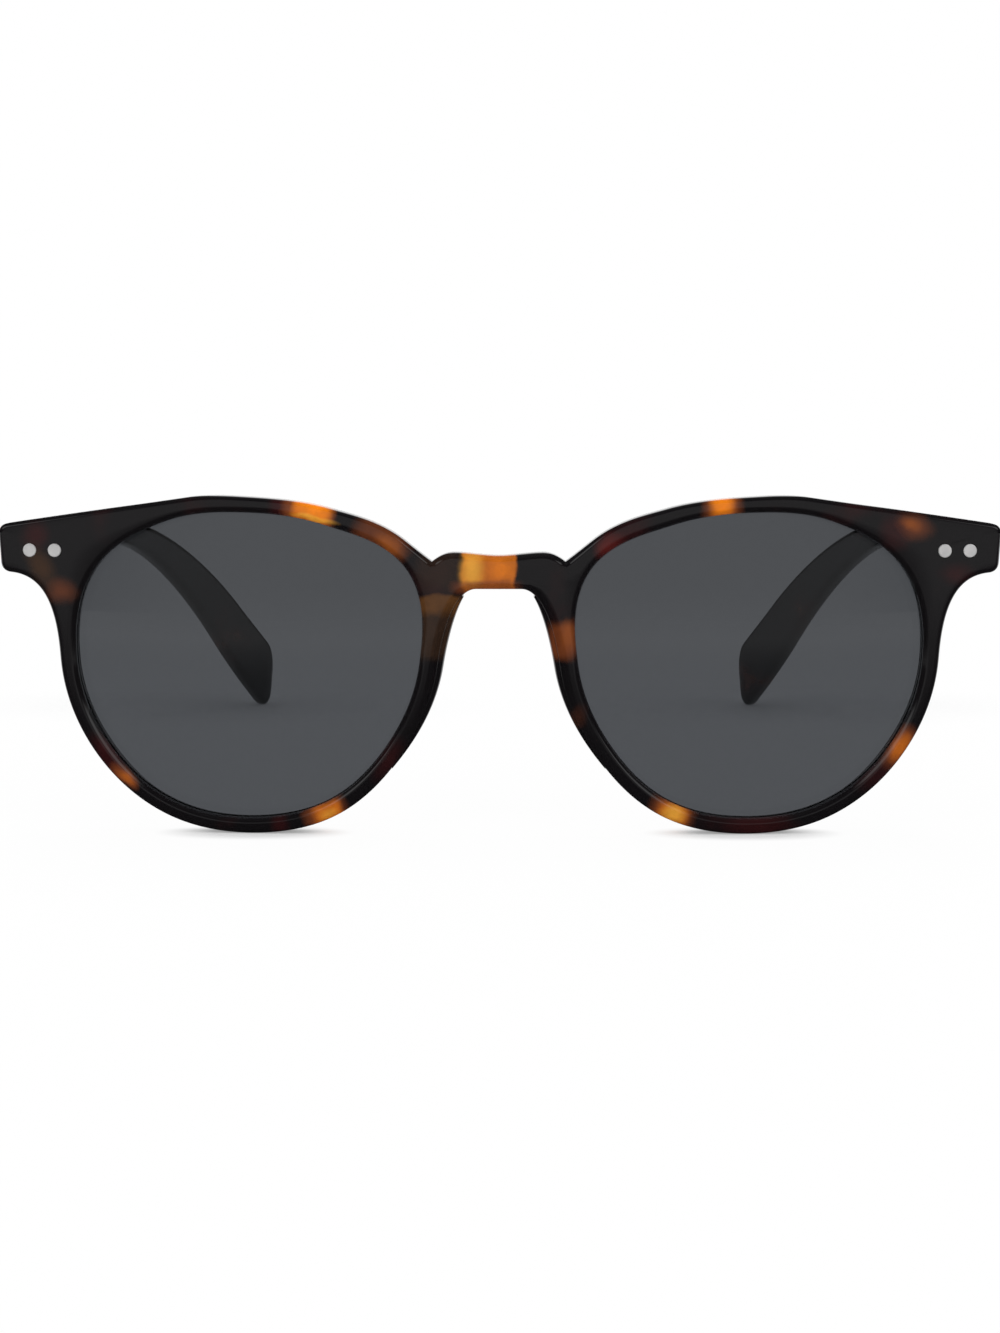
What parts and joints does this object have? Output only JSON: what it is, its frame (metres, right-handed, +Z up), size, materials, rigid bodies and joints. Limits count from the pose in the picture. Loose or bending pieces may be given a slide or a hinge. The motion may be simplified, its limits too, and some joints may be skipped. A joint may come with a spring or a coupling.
{
  "type": "round sunglasses",
  "caption": "Round acetate sunglasses with tinted lenses, flat bridge, riveted barrel hinges and folding temples.",
  "frame": {"origin": "on the floor under the middle of the object's box, as it stands open on its rims and temple tips", "axes": "+X towards the wearer's left, -Y towards the front of the lenses, +Z up"},
  "size_m": [0.142, 0.1346, 0.0481],
  "materials": {
    "acetate": "polished dark tortoiseshell cellulose acetate",
    "tinted_lens": "polished grey tinted sun lens",
    "hinge_metal": "nickel silver, lightly polished",
    "rivet_metal": "brushed nickel silver",
    "screw_metal": "turned steel",
    "core_metal": "drawn wire"
  },
  "bodies": {
    "front": {"front_frame": "acetate", "lens_left": "tinted_lens", "lens_right": "tinted_lens", "nose_pad_left": "acetate", "nose_pad_right": "acetate", "front_leaf_left": "hinge_metal", "front_leaf_right": "hinge_metal", "front_rivet_inner_left": "rivet_metal", "front_rivet_inner_right": "rivet_metal", "front_rivet_outer_left": "rivet_metal", "front_rivet_outer_right": "rivet_metal", "hinge_screw_left": "screw_metal", "hinge_screw_right": "screw_metal"},
    "left_temple": {"temple_left": "acetate", "temple_leaf_left": "hinge_metal", "temple_rivet_front_left": "rivet_metal", "temple_rivet_rear_left": "rivet_metal", "core_wire_left": "core_metal"},
    "right_temple": {"temple_right": "acetate", "temple_leaf_right": "hinge_metal", "temple_rivet_front_right": "rivet_metal", "temple_rivet_rear_right": "rivet_metal", "core_wire_right": "core_metal"}
  },
  "joints": [
    {"name": "left_fold", "type": "hinge", "parent": "front", "child": "left_temple", "pos_m": [0.0648, -0.05826, 0.04035], "axis": [0, 0, 1], "range_deg": [0, 80]},
    {"name": "right_fold", "type": "hinge", "parent": "front", "child": "right_temple", "pos_m": [-0.0648, -0.05826, 0.04035], "axis": [0, 0, -1], "range_deg": [0, 72]}
  ]
}
